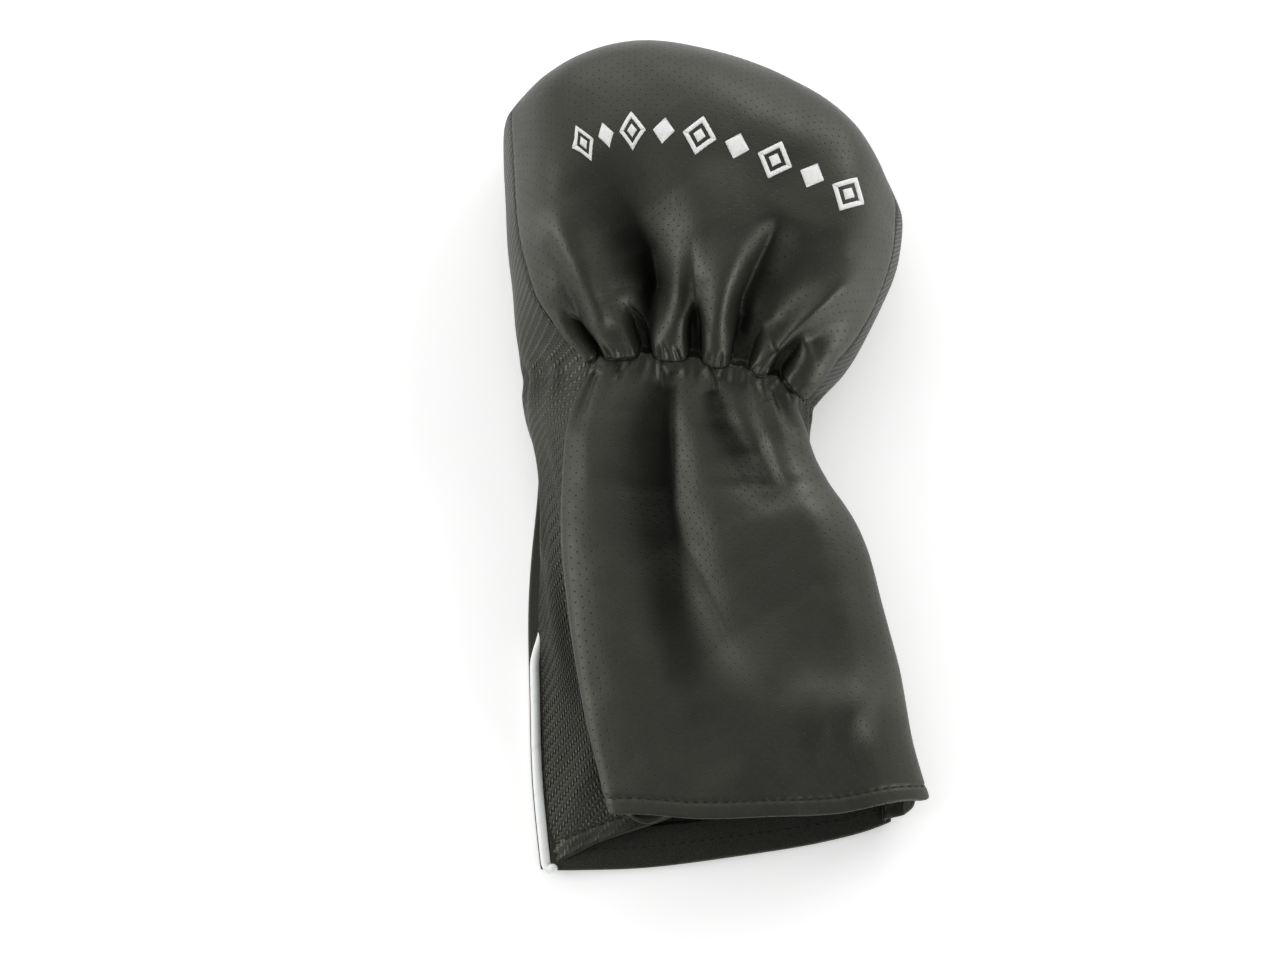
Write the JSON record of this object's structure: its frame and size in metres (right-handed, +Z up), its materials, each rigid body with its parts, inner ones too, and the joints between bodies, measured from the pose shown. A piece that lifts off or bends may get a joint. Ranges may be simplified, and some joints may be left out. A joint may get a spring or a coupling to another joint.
{
  "type": "golf club head cover",
  "caption": "Padded cover for a golf driver head, with a domed pocket, an elastic-gathered neck and a long flared sleeve that slides over the shaft.",
  "frame": {"origin": "middle of the outline seen from above, on the plane that the back panel rests on", "axes": "+Y from the sleeve mouth to the crown, +X to the right seen from above, +Z up from the back panel to the front panel"},
  "size_m": [0.1746, 0.3406, 0.084],
  "materials": {
    "perforated_leather": "perforated, soft satin",
    "carbon_embossed_leather": "embossed twill weave, satin",
    "plain_leather": "fine pebbled grain, satin",
    "white_piping": "smooth, satin",
    "padding_foam": "open foam, matt",
    "brushed_lining": "brushed pile, matt",
    "elastic_webbing": "ribbed weave, matt",
    "black_thread": "twisted thread",
    "white_embroidery": "satin stitch"
  },
  "bodies": {
    "head_pocket": {"back_panel_head": "plain_leather", "elastic_thread": "black_thread", "emblem": "white_embroidery", "front_panel_head": "perforated_leather", "gusset_head": "carbon_embossed_leather", "lining_back_head": "brushed_lining", "lining_front_head": "brushed_lining", "lining_gusset_head": "brushed_lining", "neck_elastic": "elastic_webbing", "padding_back_head": "padding_foam", "padding_front_head": "padding_foam", "padding_gusset_head": "padding_foam", "piping_head": "white_piping"},
    "sleeve": {"back_panel_sleeve": "plain_leather", "front_panel_sleeve": "perforated_leather", "gusset_left_sleeve": "carbon_embossed_leather", "gusset_right_sleeve": "carbon_embossed_leather", "hem_facing_back": "plain_leather", "hem_facing_front": "plain_leather", "hem_facing_left": "plain_leather", "hem_facing_right": "plain_leather", "hem_thread_back": "black_thread", "hem_thread_front": "black_thread", "hem_thread_gusset": "black_thread", "lining_back_sleeve": "brushed_lining", "lining_front_sleeve": "brushed_lining", "lining_left_sleeve": "brushed_lining", "lining_right_sleeve": "brushed_lining", "piping_left_sleeve": "white_piping", "piping_right_sleeve": "white_piping"}
  },
  "joints": [
    {"name": "neck_bend", "type": "hinge", "parent": "head_pocket", "child": "sleeve", "pos_m": [-0.01018, 0.02759, 0.022], "axis": [0.9904, -0.1379, 0], "range_deg": [-20, 20]}
  ]
}
